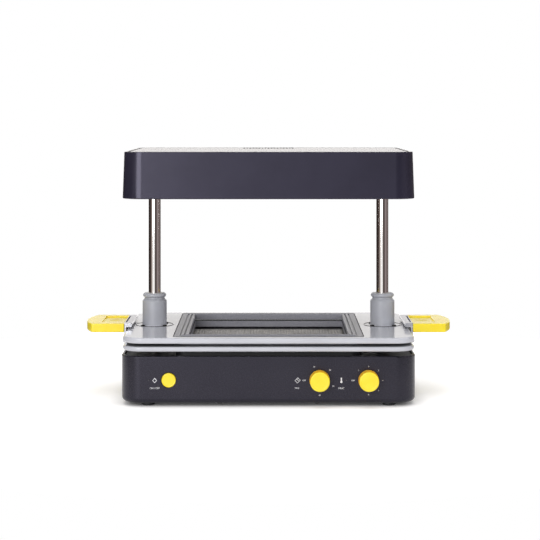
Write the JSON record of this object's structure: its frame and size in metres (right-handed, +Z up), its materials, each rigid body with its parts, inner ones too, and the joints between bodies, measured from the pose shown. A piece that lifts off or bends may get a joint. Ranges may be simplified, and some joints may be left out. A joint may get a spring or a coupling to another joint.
{
  "type": "hobby vacuum forming machine",
  "caption": "Desktop vacuum former: perforated bed in a control base, sliding clamp trays with latch handles, and a heater head on two columns.",
  "frame": {"origin": "on the table, under the middle of the machine's overall box, which is the middle of the base", "axes": "+X to the machine's right seen from the front, +Y to the rear, +Z up; the front panel faces -Y"},
  "size_m": [0.47, 0.29, 0.3111],
  "materials": {
    "base_paint": "satin powder coat",
    "head_paint": "satin powder coat",
    "tray_grey": "satin light grey coat",
    "collar_grey": "fine matt moulding",
    "gasket_rubber": "matt silicone rubber",
    "yellow_plastic": "satin moulded plastic",
    "polished_steel": "polished stainless tube",
    "bed_metal": "perforated sheet",
    "sheet_metal": "plain sheet",
    "zinc_steel": "zinc plated",
    "dark_steel": "black plate",
    "black_plastic": "moulded black",
    "black_rubber": "matt rubber",
    "pale_plastic": "moulded pale plastic",
    "ceramic": "glazed ceramic",
    "blanket": "ceramic fibre blanket",
    "board_green": "coated circuit board",
    "relay_blue": "moulded case",
    "copper_iron": "laminated core and winding",
    "brass_metal": "machined brass",
    "lens_red": "tinted lens"
  },
  "bodies": {
    "root": {"base_shell": "base_paint", "base_floor": "dark_steel", "rubber_feet": "black_rubber", "base_screws": "zinc_steel", "deck_plate": "dark_steel", "column_grommets": "black_rubber", "bed_pan": "sheet_metal", "bed_plate": "bed_metal", "bed_seal": "black_rubber", "vacuum_duct": "black_plastic", "hose_port": "black_plastic", "power_inlet": "black_plastic", "inlet_pins": "zinc_steel", "vacuum_outlet": "black_plastic", "switch_bezel": "black_plastic", "timer_unit": "pale_plastic", "heater_regulator": "pale_plastic", "start_switch": "pale_plastic", "button_spring": "zinc_steel", "indicator_lights": "lens_red", "control_board": "board_green", "power_relay": "relay_blue", "transformer": "copper_iron", "board_standoffs": "brass_metal", "column_sockets": "zinc_steel", "left_column": "polished_steel", "right_column": "polished_steel", "heater_harness": "black_rubber", "head_shell": "head_paint", "head_floor": "sheet_metal", "head_sockets": "zinc_steel", "catch_rings": "zinc_steel", "reflector": "sheet_metal", "insulation": "blanket", "heater_elements": "ceramic", "heater_guard": "zinc_steel", "terminal_block": "ceramic", "thermal_cutout": "brass_metal", "head_screws": "zinc_steel"},
    "carriage": {"lower_tray": "tray_grey", "lower_gasket": "gasket_rubber", "left_collar": "collar_grey", "right_collar": "collar_grey", "collar_bushes": "pale_plastic", "collar_screws": "zinc_steel", "hinge_pins": "zinc_steel"},
    "upper_frame": {"upper_tray": "tray_grey", "upper_gasket": "gasket_rubber"},
    "left_handle": {"left_latch_plate": "sheet_metal", "left_handle_grip": "yellow_plastic", "left_grip_screws": "zinc_steel"},
    "right_handle": {"right_latch_plate": "sheet_metal", "right_handle_grip": "yellow_plastic", "right_grip_screws": "zinc_steel"},
    "start_button": {"start_button": "yellow_plastic"},
    "timer_knob": {"timer_knob": "yellow_plastic", "timer_shaft": "zinc_steel"},
    "heater_knob": {"heater_knob": "yellow_plastic", "heater_shaft": "zinc_steel"},
    "power_rocker": {"rocker_switch": "black_plastic"}
  },
  "joints": [
    {"name": "carriage_slide", "type": "slide", "parent": "root", "child": "carriage", "axis": [0, 0, 1], "range_m": [0, 0.15]},
    {"name": "upper_tray_lift", "type": "slide", "parent": "carriage", "child": "upper_frame", "axis": [0, 0, 1], "range_m": [0, 0.012]},
    {"name": "left_handle_turn", "type": "hinge", "parent": "carriage", "child": "left_handle", "pos_m": [-0.1829, 0, 0.06975], "axis": [0, -1, 0], "range_deg": [0, 85]},
    {"name": "right_handle_turn", "type": "hinge", "parent": "carriage", "child": "right_handle", "pos_m": [0.1829, 0, 0.06975], "axis": [0, 1, 0], "range_deg": [0, 85]},
    {"name": "start_button_press", "type": "slide", "parent": "root", "child": "start_button", "axis": [0, 1, 0], "range_m": [0, 0.0025], "stiffness_N_per_m": 400, "springref_m": -0.002, "deforming": ["button_spring"]},
    {"name": "timer_knob_turn", "type": "hinge", "parent": "root", "child": "timer_knob", "pos_m": [0.0624, -0.13, 0.0325], "axis": [0, 1, 0], "range_deg": [0, 270]},
    {"name": "heater_knob_turn", "type": "hinge", "parent": "root", "child": "heater_knob", "pos_m": [0.1222, -0.13, 0.0325], "axis": [0, 1, 0], "range_deg": [0, 270]},
    {"name": "power_rocker_tilt", "type": "hinge", "parent": "root", "child": "power_rocker", "pos_m": [-0.11, 0.1255, 0.0325], "axis": [1, 0, 0], "range_deg": [0, 16]}
  ],
  "couplings": [
    {"joint": "left_handle_turn", "follows": "upper_tray_lift", "rad_per_m": 123.58},
    {"joint": "right_handle_turn", "follows": "upper_tray_lift", "rad_per_m": 123.58}
  ]
}
